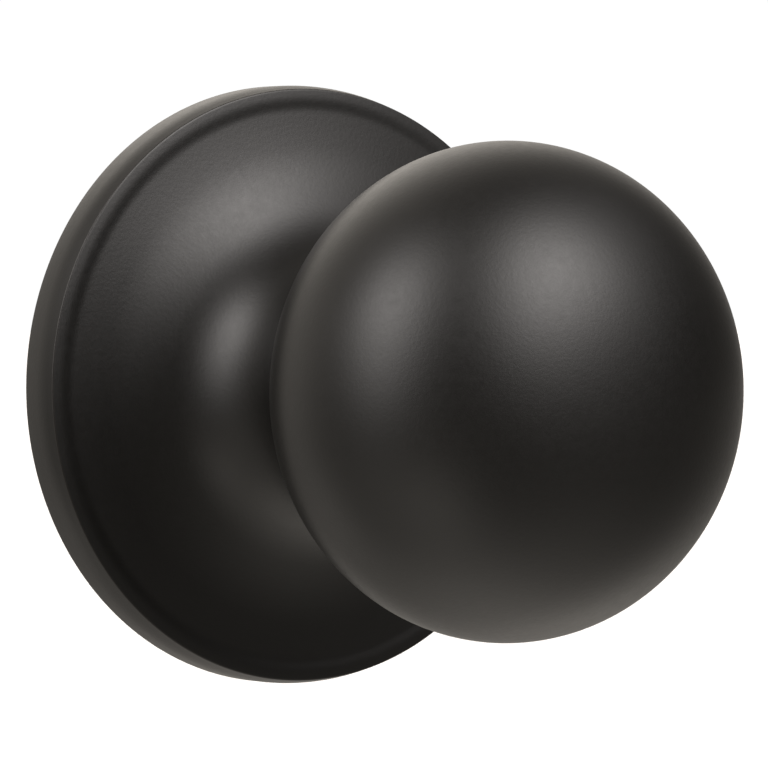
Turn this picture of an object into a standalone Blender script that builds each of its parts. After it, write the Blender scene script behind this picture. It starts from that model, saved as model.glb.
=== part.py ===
"""Door knob on its rose: the room-side half of a tubular passage set.

Metres, +Z up. The door's face is the plane Y = 0. The knob stands out of it towards -Y, and the
posts and the spindle go into the door along +Y. The knob turns about the Y axis.

Pieces are drawn in the axis frame, where local X is to the right, local Y is up and local Z, called
depth here, runs out of the door along the knob's axis. Two empties stand that frame on the door:
one carries the fixed pieces and the other, on the joint's axis, the pieces that turn.
"""
import math

import bmesh
import bpy
from mathutils import Matrix

MM = 0.001
GAP = 0.3 * MM
CUTTER_RUN = 1.0 * MM

# The rose: a spun sheet whose side draws in to a crisp front edge, then a narrow lip, a shallow
# groove and a bell that rises to a collar. Pairs are (radius, depth); a bell arc is the radius and
# the slope in degrees at its inner end, and its number of facets.
ROSE_RADIUS = 33.3 * MM
ROSE_SHEET = 1.0 * MM
RIM_INNER_RADIUS = 32.2 * MM
RIM_SHOULDER = 2.4 * MM
RIM_EDGE = (32.9 * MM, 4.8 * MM)
RIM_CORNER = 0.3 * MM
GROOVE = (31.05 * MM, 5.2 * MM)
FACE_RADIUS = 30.0 * MM
FACE_DEPTH = 5.28 * MM
FACE_SLOPE = 8.5
BELL_ARCS = ((26.6 * MM, 11.0, 1), (20.0 * MM, 28.0, 3), (13.7 * MM, 87.0, 6))
COLLAR_LIP = 19.3 * MM

# The ball: its distance from a centre on the axis is A + B cos(turn) + C cos(2 turn), where turn is
# the angle from the front pole.
BALL_CENTRE = 43.2 * MM
BALL_TERMS = (23.4 * MM, 0.85 * MM, -3.12 * MM)
SHELL_SHEET = 0.8 * MM
SHELL_EDGE_RADIUS = 20.0 * MM

# The back cap with its neck, and the flange that the shell is rolled over.
NECK_RADIUS = 12.3 * MM
NECK_END = 16.6 * MM
NECK_FILLET = 4.0 * MM
CAP_SHEET = 1.1 * MM
CAP_BODY_SHEET = 1.3 * MM
CAP_RIM_RADIUS = 23.2 * MM
CAP_RIM_TAPER = 0.7 * MM

# The shank and what turns with it.
SHANK_RADIUS = 8.0 * MM
SHANK_BORE = 6.6 * MM
SHANK_FRONT = 33.0 * MM
SHANK_REAR = -13.0 * MM
SHANK_CHAMFER = 0.3 * MM
SHANK_HEAD_RADIUS = 9.6 * MM
CLIP_GROOVE_RADIUS = 7.3 * MM
CLIP_GROOVE = (-11.9 * MM, -10.3 * MM)
FLANGE_RADIUS = 17.0 * MM
FLANGE_SHEET = 1.5 * MM
CUP_SHEET = 1.0 * MM
CUP_FOOT = 14.4 * MM
CUP_FLARE = (0.5 * MM, 1.5 * MM)
CUP_RIM_TURNS = (38.0, 42.0)
PLUG_DEPTHS = (-12.5 * MM, 12.0 * MM)
SPINDLE_RADIUS = 4.3 * MM
SPINDLE_FLAT = -1.8 * MM
SPINDLE_DEPTHS = (-44.0 * MM, 11.0 * MM)
SPINDLE_CHAMFER = 0.6 * MM
PIN_RADIUS = 1.1 * MM
PIN_HALF_LENGTH = 7.8 * MM
PIN_CENTRE = (1.0 * MM, 6.0 * MM)

# The fixed hub, plate and posts.
PLATE_RADIUS = 29.0 * MM
PLATE_SHEET = 1.8 * MM
HUB_RADIUS = 10.9 * MM
HUB_BORE = 9.5 * MM
HUB_TOP = 22.8 * MM
HUB_FLANGE_RADIUS = 14.0 * MM
HUB_FLANGE = 1.2 * MM
FRONT_BUSHING_LOW = 12.0 * MM
BUSHING_FLANGE = 0.9 * MM
REAR_BUSHING_DEPTHS = (0.2 * MM, 9.0 * MM)
BUSHING_BORE = SHANK_RADIUS + GAP
BUSHING_RADIUS = HUB_BORE - GAP
POST_SPACING = 38.1 * MM
POST_RADIUS = 4.0 * MM
POST_HEAD_RADIUS = 4.5 * MM
POST_HEAD = 0.9 * MM
POST_HEAD_CHAMFER = (0.6 * MM, 0.5 * MM)
POST_STEM_RADIUS = 2.9 * MM
POST_END = -34.0 * MM
POST_CHAMFER = 0.5 * MM
POST_THREAD_RADIUS = 1.9 * MM
POST_THREAD_LENGTH = 20.0 * MM

# The spring cage, its spring and the driver that loads the spring.
CAGE_RADIUS = 14.2 * MM
CAGE_WALL = 0.9 * MM
CAGE_DEPTHS = (-8.3 * MM, -0.3 * MM)
CAGE_RIM_DROP = 0.1 * MM
CAGE_HOLE = 8.6 * MM
EAR_CENTRE = 17.2 * MM
EAR_RADIUS = 3.0 * MM
EAR_SHEET = 1.0 * MM
STOP_RADIUS = 12.4 * MM
STOP_TOP = -6.2 * MM
KEY_DEPTHS = (-6.0 * MM, -0.8 * MM)
SWING = 60.0
STOP_CLEARANCE = 1.5
STOP_HALF_ANGLE = 6.0
KEY_HALF_ANGLE = 8.0
LUG_HALF_ANGLE = 10.0
DRIVER_DEPTHS = (-7.1 * MM, -1.0 * MM)
DRIVER_SHEET = 0.8 * MM
DRIVER_SLEEVE = 9.4 * MM
DRIVER_TAB = (11.3 * MM, 12.1 * MM)
DRIVER_LUG = 12.9 * MM
COIL_RADIUS = 10.4 * MM
COIL_WIRE = 0.55 * MM
COIL_DEPTHS = (-5.65 * MM, -1.65 * MM)
COIL_TURNS = 3
LEG_ANGLE = 14.0
LEG_BEND = 1.0 * MM
LEG_TIP = 13.0 * MM

# Small hardware.
CAGE_SCREW_RADIUS = 1.2 * MM
CAGE_SCREW_TOP = 1.5 * MM
CAGE_SCREW_HEAD = 2.5 * MM
CAGE_SCREW_CROWN = ((0.0, 0.7 * MM), (0.7 * MM, 1.3 * MM))
CAGE_SCREW_HEAD_HEIGHT = 1.4 * MM
SLOT_WIDTH = 0.8 * MM
SLOT_TOP = 0.8 * MM
ROSE_CLIP_ANGLES = (0.0, 120.0, 240.0)
ROSE_CLIP_WIDTH = 7.0 * MM
ROSE_CLIP_FOOT = 21.2 * MM
ROSE_CLIP_SHEET = 0.6 * MM
ROSE_CLIP_BEND = 0.8 * MM
ROSE_CLIP_ELBOW = 29.6 * MM
ROSE_CLIP_TIP = ((31.2 * MM, 0.4 * MM), (31.75 * MM, 0.65 * MM))
CLIP_RIVET_RADIUS = 1.2 * MM
CLIP_RIVET_PLACE = 24.5 * MM
CLIP_RIVET_DOME = 0.9 * MM
CLIP_RIVET_END = 0.1 * MM
THRUST_WASHER_RADIUS = 12.0 * MM
THRUST_WASHER = 0.7 * MM
WAVE_WASHER_RADIUS = 11.4 * MM
WAVE_WASHER_DEPTH = -9.95 * MM
WAVE_WASHER_SHEET = 0.3 * MM
WAVE_WASHER_SWELL = 0.2 * MM
WAVE_COUNT = 3
RETAINING_RING_RADIUS = 10.4 * MM
RETAINING_RING_HALF_ANGLE = 158.0

# Facets round a turned piece.
LARGE = 48
MEDIUM = 32
WAVED = 30
SMALL = 16

# Base colour, roughness and metallic.
FINISHES = {
    "satin_black": ((0.012, 0.011, 0.010), 0.38, 0.6),
    "zinc_plate": ((0.55, 0.56, 0.57), 0.35, 1.0),
    "steel": ((0.42, 0.42, 0.43), 0.30, 1.0),
    "cast_zinc": ((0.36, 0.37, 0.39), 0.45, 1.0),
    "spring_steel": ((0.20, 0.20, 0.21), 0.30, 1.0),
    "nylon": ((0.75, 0.74, 0.70), 0.50, 0.0),
}


def clear_scene():
    for item in list(bpy.data.objects):
        bpy.data.objects.remove(item, do_unlink=True)


def new_collection(name):
    collection = bpy.data.collections.new(name)
    bpy.context.scene.collection.children.link(collection)
    return collection


def axis_frame(name, collection):
    """An empty on the knob's axis whose local Z runs out of the door."""
    empty = bpy.data.objects.new(name, None)
    empty.empty_display_size = 10 * MM
    empty.rotation_euler = (math.radians(90), 0, 0)
    collection.objects.link(empty)
    return empty


def make_finish(name):
    colour, roughness, metallic = FINISHES[name]
    material = bpy.data.materials.new(name)
    material.use_nodes = True
    shader = material.node_tree.nodes["Principled BSDF"]
    shader.inputs["Base Color"].default_value = (*colour, 1)
    shader.inputs["Roughness"].default_value = roughness
    shader.inputs["Metallic"].default_value = metallic
    material.diffuse_color = (*colour, 1)
    return material


def place(item, parent, finish):
    """Puts a piece in the object's collection, on its frame and with its own material."""
    collections["parts"].objects.link(item)
    item.parent = parent
    material = make_finish(finish)
    material.name = item.name + "_finish"
    item.data.materials.clear()
    item.data.materials.append(material)
    return item


def as_cutter(item, parent):
    collections["cutters"].objects.link(item)
    item.parent = parent
    item.hide_render = True
    item.display_type = "WIRE"
    return item


def boolean(target, cutter, operation="DIFFERENCE"):
    modifier = target.modifiers.new(cutter.name, "BOOLEAN")
    modifier.operation = operation
    modifier.solver = "EXACT"
    modifier.object = cutter


def soften(item, width, segments=1):
    modifier = item.modifiers.new("edge", "BEVEL")
    modifier.width = width
    modifier.segments = segments
    modifier.limit_method = "ANGLE"
    modifier.angle_limit = math.radians(50)


def turned(name, profile, facets, closed=True):
    """A solid, or an open surface, turned about local Z from (radius, depth) points.

    The points run down the outer side, from the greatest depth to the least.
    """
    mesh = bpy.data.meshes.new(name)
    points = [(radius, 0, depth) for radius, depth in profile]
    edges = [(i, i + 1) for i in range(len(points) - 1)]
    if closed:
        edges.append((len(points) - 1, 0))
    mesh.from_pydata(points, edges, [])
    item = bpy.data.objects.new(name, mesh)
    screw = item.modifiers.new("turn", "SCREW")
    screw.axis = "Z"
    screw.angle = math.tau
    screw.steps = facets
    screw.render_steps = facets
    screw.use_merge_vertices = True
    screw.merge_threshold = 0.01 * MM
    screw.use_smooth_shade = True
    return item


def ring_profile(bore, radius, low, high):
    return [(radius, high), (radius, low), (bore, low), (bore, high)]


def arc(centre, radius, start, stop, count):
    """Points on an arc; angles in degrees from +X towards +Y."""
    steps = [math.radians(start + (stop - start) * i / count) for i in range(count + 1)]
    return [(centre[0] + radius * math.cos(a), centre[1] + radius * math.sin(a)) for a in steps]


def rod(name, radius, low, high, facets=SMALL, at=(0, 0)):
    """A cylinder along local Z."""
    mesh = bpy.data.meshes.new(name)
    shape = bmesh.new()
    middle = Matrix.Translation((at[0], at[1], (low + high) / 2))
    bmesh.ops.create_cone(shape, cap_ends=True, segments=facets, radius1=radius, radius2=radius,
                          depth=high - low, matrix=middle)
    shape.to_mesh(mesh)
    shape.free()
    return bpy.data.objects.new(name, mesh)


def outline_solid(name, points, low, high):
    """A flat outline with thickness, from depth low to depth high, as a closed mesh."""
    curve = bpy.data.curves.new(name, "CURVE")
    curve.dimensions = "2D"
    curve.fill_mode = "BOTH"
    curve.extrude = (high - low) / 2
    spline = curve.splines.new("POLY")
    spline.points.add(len(points) - 1)
    for point, (x, y) in zip(spline.points, points):
        point.co = (x, y, 0, 1)
    spline.use_cyclic_u = True
    drawn = bpy.data.objects.new(name + "_outline", curve)
    return curve_to_mesh(name, drawn, (low + high) / 2)


def curve_to_mesh(name, drawn, depth=0.0):
    """Replaces a curve object with a mesh object whose caps are welded."""
    bpy.context.scene.collection.objects.link(drawn)
    bpy.context.view_layer.update()
    graph = bpy.context.evaluated_depsgraph_get()
    mesh = bpy.data.meshes.new_from_object(drawn.evaluated_get(graph))
    mesh.name = name
    shape = bmesh.new()
    shape.from_mesh(mesh)
    bmesh.ops.remove_doubles(shape, verts=shape.verts, dist=0.001 * MM)
    bmesh.ops.recalc_face_normals(shape, faces=shape.faces)
    bmesh.ops.translate(shape, verts=shape.verts, vec=(0, 0, depth))
    shape.to_mesh(mesh)
    shape.free()
    item = bpy.data.objects.new(name, mesh)
    item.matrix_world = drawn.matrix_world
    bpy.data.objects.remove(drawn, do_unlink=True)
    return item


def sector(name, bore, radius, middle, half_angle, low, high, count=4):
    """A block between two radii and two angles, in degrees from local X."""
    outer = arc((0, 0), radius, middle - half_angle, middle + half_angle, count)
    inner = arc((0, 0), bore, middle + half_angle, middle - half_angle, count)
    return outline_solid(name, outer + inner, low, high)


def shade(item, angle=40.0):
    item.data.shade_smooth()
    item.data.set_sharp_from_angle(angle=math.radians(angle))
    return item


def ball_point(turn, inset=0.0):
    """(radius, depth) at an angle from the front pole, moved inwards along the normal."""
    base, first, second = BALL_TERMS
    reach = base + first * math.cos(turn) + second * math.cos(2 * turn)
    change = -first * math.sin(turn) - 2 * second * math.sin(2 * turn)
    across = change * math.sin(turn) + reach * math.cos(turn)
    along = change * math.cos(turn) - reach * math.sin(turn)
    length = math.hypot(across, along)
    return (reach * math.sin(turn) + inset * along / length,
            BALL_CENTRE + reach * math.cos(turn) - inset * across / length)


def rear_turn(radius, inset=0.0):
    """The angle behind the ball's widest plane at which its inset surface has a radius."""
    low, high = math.radians(95), math.radians(175)
    for _ in range(50):
        middle = (low + high) / 2
        if ball_point(middle, inset)[0] > radius:
            low = middle
        else:
            high = middle
    return low


def ball_outline(start, stop, count, inset=0.0):
    return [ball_point(start + (stop - start) * i / count, inset) for i in range(count + 1)]


def bell_outline():
    """(radius, depth, slope) down the bell's outer face, from the groove in to the collar."""
    points = [(FACE_RADIUS, FACE_DEPTH, math.radians(FACE_SLOPE))]
    for end_radius, end_slope, count in BELL_ARCS:
        radius, depth, slope = points[-1]
        goal = math.radians(end_slope)
        curve = (radius - end_radius) / (math.sin(goal) - math.sin(slope))
        for i in range(1, count + 1):
            lean = slope + (goal - slope) * i / count
            points.append((radius - curve * (math.sin(lean) - math.sin(slope)),
                           depth + curve * (math.cos(slope) - math.cos(lean)), lean))
    return points


def rim_side():
    """The rose's side from its front edge down to the door, drawn in above the shoulder."""
    edge_radius, edge_depth = RIM_EDGE
    drawn_in, run = ROSE_RADIUS - edge_radius, edge_depth - RIM_SHOULDER
    crown = (drawn_in ** 2 + run ** 2) / (2 * drawn_in)
    tilt = math.degrees(math.asin(run / crown))
    return arc((ROSE_RADIUS - crown, RIM_SHOULDER), crown, tilt, 0, 3)


def make_rose_cover(parent):
    bell = bell_outline()
    collar = bell[-1][0]
    lip_turn = ROSE_SHEET / 2
    lip = arc((collar - lip_turn, COLLAR_LIP - lip_turn), lip_turn, 180, 0, 3)
    face = [(radius, depth) for radius, depth, lean in reversed(bell)]
    rim_lip = [(RIM_EDGE[0] - RIM_CORNER, RIM_EDGE[1] + RIM_CORNER / 2)]
    foot = [(ROSE_RADIUS, 0), (RIM_INNER_RADIUS, 0), (RIM_INNER_RADIUS, RIM_SHOULDER)]
    under_lip = [(GROOVE[0], GROOVE[1] - ROSE_SHEET)]
    inside = [(radius - ROSE_SHEET * math.sin(lean), depth - ROSE_SHEET * math.cos(lean))
              for radius, depth, lean in bell[::2]]
    profile = lip + face + [GROOVE] + rim_lip + rim_side() + foot + under_lip + inside
    rose = turned("rose_cover", profile, LARGE)
    return place(shade(rose, 50), parent, "satin_black")


def rivet_spot(angle):
    turn = math.radians(angle)
    return CLIP_RIVET_PLACE * math.cos(turn), CLIP_RIVET_PLACE * math.sin(turn)


def make_mounting_plate(parent):
    profile = ring_profile(HUB_RADIUS + GAP, PLATE_RADIUS, 0, PLATE_SHEET)
    plate = turned("mounting_plate", profile, LARGE)
    holes = [(0, POST_SPACING / 2, POST_STEM_RADIUS), (0, -POST_SPACING / 2, POST_STEM_RADIUS),
             (EAR_CENTRE, 0, CAGE_SCREW_RADIUS), (-EAR_CENTRE, 0, CAGE_SCREW_RADIUS)]
    holes += [(*rivet_spot(angle), CLIP_RIVET_RADIUS) for angle in ROSE_CLIP_ANGLES]
    for number, (x, y, radius) in enumerate(holes):
        hole = rod(f"plate_hole_{number}", radius + GAP, -CUTTER_RUN, PLATE_SHEET + CUTTER_RUN,
                   at=(x, y))
        boolean(plate, as_cutter(hole, parent))
    return place(plate, parent, "zinc_plate")


def make_hub_tube(parent):
    foot = PLATE_SHEET + GAP
    profile = [(HUB_RADIUS, HUB_TOP), (HUB_RADIUS, foot + HUB_FLANGE),
               (HUB_FLANGE_RADIUS, foot + HUB_FLANGE), (HUB_FLANGE_RADIUS, foot),
               (HUB_RADIUS, foot), (HUB_RADIUS, 0), (HUB_BORE, 0), (HUB_BORE, HUB_TOP)]
    return place(shade(turned("hub_tube", profile, MEDIUM)), parent, "zinc_plate")


def make_bushings(parent):
    flange_low = HUB_TOP + GAP
    flange_high = flange_low + BUSHING_FLANGE
    front = [(HUB_RADIUS - GAP, flange_high), (HUB_RADIUS - GAP, flange_low),
             (BUSHING_RADIUS, flange_low), (BUSHING_RADIUS, FRONT_BUSHING_LOW),
             (BUSHING_BORE, FRONT_BUSHING_LOW), (BUSHING_BORE, flange_high)]
    place(shade(turned("front_bushing", front, MEDIUM)), parent, "nylon")
    rear = ring_profile(BUSHING_BORE, BUSHING_RADIUS, *REAR_BUSHING_DEPTHS)
    place(shade(turned("rear_bushing", rear, MEDIUM)), parent, "nylon")


def make_post(name, height, parent):
    """A post staked in the plate, with a threaded hole in its far end."""
    head_low = PLATE_SHEET + GAP
    head_top = head_low + POST_HEAD
    chamfer_in, chamfer_down = POST_HEAD_CHAMFER
    thread_top = POST_END + POST_THREAD_LENGTH
    profile = [(0, head_top), (POST_HEAD_RADIUS - chamfer_in, head_top),
               (POST_HEAD_RADIUS, head_top - chamfer_down), (POST_HEAD_RADIUS, head_low),
               (POST_STEM_RADIUS, head_low), (POST_STEM_RADIUS, -GAP), (POST_RADIUS, -GAP),
               (POST_RADIUS, POST_END + POST_CHAMFER), (POST_RADIUS - POST_CHAMFER, POST_END),
               (POST_THREAD_RADIUS, POST_END), (POST_THREAD_RADIUS, thread_top),
               (0, thread_top + POST_THREAD_RADIUS)]
    post = turned(name, profile, SMALL, closed=False)
    post.location = (0, height, 0)
    return place(shade(post), parent, "zinc_plate")


def ear_outline(side):
    """An ear that starts inside the cage's wall and ends round its screw."""
    start = CAGE_RADIUS - CAGE_WALL / 2
    inner = math.sqrt(start ** 2 - EAR_RADIUS ** 2)
    tip = arc((EAR_CENTRE, 0), EAR_RADIUS, -90, 90, 8)
    points = [(inner, -EAR_RADIUS)] + tip + [(inner, EAR_RADIUS), (start, 0)]
    return [(side * x, side * y) for x, y in points]


def make_spring_cage(parent):
    """A cup with two ears, a key for the spring's legs and two stops for the driver."""
    low, high = CAGE_DEPTHS
    inside = CAGE_RADIUS - CAGE_WALL
    rim = high - CAGE_RIM_DROP
    cup = [(CAGE_RADIUS, rim), (CAGE_RADIUS, low), (CAGE_HOLE, low), (CAGE_HOLE, low + CAGE_WALL),
           (inside, low + CAGE_WALL), (inside, rim)]
    cage = turned("spring_cage", cup, MEDIUM)
    for side in (-1, 1):
        ear = outline_solid(f"cage_ear_{side}", ear_outline(side), high - EAR_SHEET, high)
        boolean(cage, as_cutter(ear, parent), "UNION")
    for side in (-1, 1):
        hole = rod(f"cage_screw_hole_{side}", CAGE_SCREW_RADIUS + GAP, high - EAR_SHEET - 2 * CUTTER_RUN,
                   high + CUTTER_RUN, at=(side * EAR_CENTRE, 0))
        boolean(cage, as_cutter(hole, parent))
    for block in cage_blocks():
        boolean(cage, as_cutter(block, parent), "UNION")
    return place(cage, parent, "zinc_plate")


def cage_blocks():
    """The spring's key and the two stops, each starting inside the cage's wall."""
    wall = CAGE_RADIUS - CAGE_WALL / 2
    blocks = [sector("cage_key", STOP_RADIUS, wall, 90, KEY_HALF_ANGLE, *KEY_DEPTHS)]
    reach = SWING + LUG_HALF_ANGLE + STOP_CLEARANCE + STOP_HALF_ANGLE
    for side in (-1, 1):
        blocks.append(sector(f"cage_stop_{side}", STOP_RADIUS, wall, 270 + side * reach,
                             STOP_HALF_ANGLE, CAGE_DEPTHS[0] + CAGE_WALL / 2, STOP_TOP))
    return blocks


def spring_leg(turn, depth, sweep):
    """Points that bend from the coil's circle at an angle out to the leg's tip."""
    bend_angle = LEG_BEND / COIL_RADIUS
    points = []
    for step in (0.35, 0.7, 1.0):
        angle = turn + sweep * bend_angle * step
        radius = COIL_RADIUS + LEG_BEND * (1 - math.cos(step * math.pi / 2))
        points.append((radius * math.cos(angle), radius * math.sin(angle), depth))
    angle = turn + sweep * bend_angle
    points.append((LEG_TIP * math.cos(angle), LEG_TIP * math.sin(angle), depth))
    return points


def spring_path():
    """The wire's middle line: a leg, the coil and the other leg."""
    bend_angle = LEG_BEND / COIL_RADIUS
    start = math.radians(90 + LEG_ANGLE) + bend_angle
    stop = math.radians(90 - LEG_ANGLE) - bend_angle + math.tau * COIL_TURNS
    low, high = COIL_DEPTHS
    count = SMALL * COIL_TURNS
    points = list(reversed(spring_leg(start, low, -1)))
    for i in range(count + 1):
        part = i / count
        angle = start + (stop - start) * part
        depth = low + (high - low) * part
        points.append((COIL_RADIUS * math.cos(angle), COIL_RADIUS * math.sin(angle), depth))
    return points + spring_leg(stop, high, 1)


def make_return_spring(parent):
    """A torsion spring whose two legs straddle the cage's key and the driver's tab."""
    curve = bpy.data.curves.new("return_spring", "CURVE")
    curve.dimensions = "3D"
    curve.bevel_depth = COIL_WIRE
    curve.bevel_resolution = 2
    curve.use_fill_caps = True
    spline = curve.splines.new("POLY")
    points = spring_path()
    spline.points.add(len(points) - 1)
    for point, place_at in zip(spline.points, points):
        point.co = (*place_at, 1)
    spring = bpy.data.objects.new("return_spring", curve)
    return place(spring, parent, "spring_steel")


def make_cage_screw(name, x, parent):
    head_low = CAGE_DEPTHS[1] - EAR_SHEET - GAP
    crown = [(CAGE_SCREW_HEAD - inset, head_low - drop) for inset, drop in CAGE_SCREW_CROWN]
    profile = [(0, CAGE_SCREW_TOP), (CAGE_SCREW_RADIUS, CAGE_SCREW_TOP), (CAGE_SCREW_RADIUS, head_low),
               (CAGE_SCREW_HEAD, head_low), *crown, (0, head_low - CAGE_SCREW_HEAD_HEIGHT)]
    screw = turned(name, profile, SMALL, closed=False)
    screw.location = (x, 0, 0)
    slot = rectangle(2 * CAGE_SCREW_HEAD + CUTTER_RUN, SLOT_WIDTH)
    cutter = outline_solid(name + "_slot", slot, head_low - 2 * CUTTER_RUN, head_low - SLOT_TOP)
    cutter.location = (x, 0, 0)
    boolean(screw, as_cutter(cutter, parent))
    return place(shade(screw), parent, "steel")


def rectangle(width, height):
    return [(-width / 2, -height / 2), (width / 2, -height / 2),
            (width / 2, height / 2), (-width / 2, height / 2)]


def clip_outline():
    """A clip's side view: its foot on the plate, the elbow over the edge and the pressing tip."""
    foot = PLATE_SHEET + GAP
    elbow = (ROSE_CLIP_ELBOW, foot - ROSE_CLIP_BEND)
    inner = [(ROSE_CLIP_FOOT, foot)] + arc(elbow, ROSE_CLIP_BEND, 90, 0, 3)
    outer = arc(elbow, ROSE_CLIP_BEND + ROSE_CLIP_SHEET, 0, 90, 3)
    return inner + list(ROSE_CLIP_TIP) + outer + [(ROSE_CLIP_FOOT, foot + ROSE_CLIP_SHEET)]


def make_rose_clips(parent):
    """Spring clips on the plate's edge that press on the inside of the rose's rim."""
    outline = clip_outline()
    for number, angle in enumerate(ROSE_CLIP_ANGLES, 1):
        clip = outline_solid(f"rose_clip_{number}", outline, -ROSE_CLIP_WIDTH / 2, ROSE_CLIP_WIDTH / 2)
        clip.data.transform(Matrix.Rotation(math.radians(90), 4, "X"))
        clip.rotation_euler = (0, 0, math.radians(angle))
        spot = rivet_spot(angle)
        hole = rod(f"rose_clip_hole_{number}", CLIP_RIVET_RADIUS + GAP, 0,
                   PLATE_SHEET + ROSE_CLIP_SHEET + 2 * CUTTER_RUN, at=spot)
        boolean(clip, as_cutter(hole, parent))
        place(clip, parent, "spring_steel")
        make_clip_rivet(number, spot, parent)


def make_clip_rivet(number, spot, parent):
    head_low = PLATE_SHEET + ROSE_CLIP_SHEET + 2 * GAP
    dome = arc((0, head_low), CLIP_RIVET_DOME, 90, 0, 3)
    profile = [(2 * x, z) for x, z in dome]
    profile += [(CLIP_RIVET_RADIUS, head_low), (CLIP_RIVET_RADIUS, CLIP_RIVET_END), (0, CLIP_RIVET_END)]
    rivet = turned(f"clip_rivet_{number}", profile, SMALL, closed=False)
    rivet.location = (*spot, 0)
    return place(shade(rivet), parent, "steel")


def make_knob_shell(parent):
    """The drawn ball: open at the rear, where its edge is rolled over the back cap."""
    shell = turned("knob_shell", ball_outline(0, rear_turn(SHELL_EDGE_RADIUS), 16), LARGE, closed=False)
    solidify = shell.modifiers.new("sheet", "SOLIDIFY")
    solidify.thickness = SHELL_SHEET
    solidify.offset = -1
    solidify.use_even_offset = True
    return place(shade(shell, 50), parent, "satin_black")


def make_knob_back(parent):
    """The back cap: a flange inside the shell, a face flush with the ball, and the neck."""
    lap = SHELL_SHEET + GAP
    edge = rear_turn(SHELL_EDGE_RADIUS - GAP)
    join = rear_turn(NECK_RADIUS + NECK_FILLET, -NECK_FILLET)
    bend = ball_point(join, -NECK_FILLET)
    touch = ball_point(join)
    lean = math.degrees(math.atan2(touch[1] - bend[1], touch[0] - bend[0]))
    flange = ball_outline(rear_turn(CAP_RIM_RADIUS, lap), edge, 2, lap)
    face = ball_outline(edge, join, 3)
    fillet = arc(bend, NECK_FILLET, lean, 180, 4)
    neck = [(NECK_RADIUS, NECK_END), (NECK_RADIUS - CAP_SHEET, NECK_END)]
    inner_fillet = arc(bend, NECK_FILLET + CAP_SHEET, 180, lean, 3)
    inner_face = ball_outline(join, edge, 3, CAP_BODY_SHEET)
    inner_rim = rear_turn(CAP_RIM_RADIUS - CAP_RIM_TAPER, lap + CAP_SHEET)
    inner_flange = ball_outline(edge, inner_rim, 2, lap + CAP_SHEET)
    profile = flange + face + fillet[1:] + neck + inner_fillet + inner_face[1:-1] + inner_flange
    cap = turned("knob_back", profile, LARGE)
    return place(shade(cap, 35), parent, "satin_black")


def flange_depths():
    """The shank's flange rests on the inside of the back cap."""
    inset = CAP_BODY_SHEET + GAP
    low = ball_point(rear_turn(FLANGE_RADIUS, inset), inset)[1]
    return low, low + FLANGE_SHEET


def make_shank(parent):
    head = flange_depths()[1] + GAP
    groove_low, groove_high = CLIP_GROOVE
    profile = [(SHANK_HEAD_RADIUS, SHANK_FRONT), (SHANK_HEAD_RADIUS, head), (SHANK_RADIUS, head),
               (SHANK_RADIUS, groove_high), (CLIP_GROOVE_RADIUS, groove_high),
               (CLIP_GROOVE_RADIUS, groove_low), (SHANK_RADIUS, groove_low),
               (SHANK_RADIUS, SHANK_REAR + SHANK_CHAMFER), (SHANK_RADIUS - SHANK_CHAMFER, SHANK_REAR),
               (SHANK_BORE, SHANK_REAR), (SHANK_BORE, SHANK_FRONT)]
    shank = turned("shank_tube", profile, MEDIUM)
    boolean(shank, pin_hole("shank_pin_hole", parent))
    place(shade(shank), parent, "steel")
    flange = ring_profile(SHANK_RADIUS + GAP, FLANGE_RADIUS, *flange_depths())
    place(shade(turned("shank_flange", flange, MEDIUM)), parent, "steel")


def make_support_cup(parent):
    """A pressed cup on the shank's flange that backs the ball's thin front."""
    base = flange_depths()[1] + GAP
    hole = SHANK_HEAD_RADIUS + 1 * MM
    flare, rise = CUP_FLARE
    start, stop = (math.radians(turn) for turn in CUP_RIM_TURNS)
    rim = ball_outline(start, stop, 1, SHELL_SHEET + GAP)
    outside = [(CUP_FOOT + flare, base + rise), (CUP_FOOT, base), (hole, base)]
    top = base + CUP_SHEET
    inside = [(hole, top), (CUP_FOOT - 0.8 * MM, top), (CUP_FOOT - 0.4 * MM, top + 0.8 * MM)]
    profile = [rim[1]] + outside + inside + [rim[0]]
    return place(shade(turned("support_cup", profile, MEDIUM)), parent, "steel")


def pin_hole(name, parent):
    """A cutter for the cross pin, a gap wider than the pin."""
    height, depth = PIN_CENTRE
    reach = SHANK_RADIUS + 2 * CUTTER_RUN
    hole = rod(name, PIN_RADIUS + GAP, -reach, reach)
    hole.data.transform(Matrix.Rotation(math.radians(90), 4, "Y"))
    hole.location = (0, height, depth)
    return as_cutter(hole, parent)


def spindle_outline(margin):
    """A round bar with a flat along its lower side."""
    radius = SPINDLE_RADIUS + margin
    flat = math.degrees(math.asin((SPINDLE_FLAT - margin) / radius))
    return arc((0, 0), radius, flat, 180 - flat, 16)


def make_plug(parent):
    """The plug in the shank, bored to the spindle's section."""
    low, high = PLUG_DEPTHS
    plug = rod("spindle_plug", SHANK_BORE - GAP, low, high, MEDIUM)
    bore = outline_solid("plug_bore", spindle_outline(GAP), low - CUTTER_RUN, high + CUTTER_RUN)
    boolean(plug, as_cutter(bore, parent))
    boolean(plug, pin_hole("plug_pin_hole", parent))
    return place(plug, parent, "cast_zinc")


def make_spindle(parent):
    """The spindle and the cross pin that holds it in the shank."""
    spindle = outline_solid("spindle", spindle_outline(0), *SPINDLE_DEPTHS)
    soften(spindle, SPINDLE_CHAMFER)
    boolean(spindle, pin_hole("spindle_pin_hole", parent))
    place(spindle, parent, "steel")
    height, depth = PIN_CENTRE
    pin = rod("spindle_pin", PIN_RADIUS, -PIN_HALF_LENGTH, PIN_HALF_LENGTH)
    pin.data.transform(Matrix.Rotation(math.radians(90), 4, "Y"))
    pin.location = (0, height, depth)
    return place(shade(pin), parent, "steel")


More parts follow.
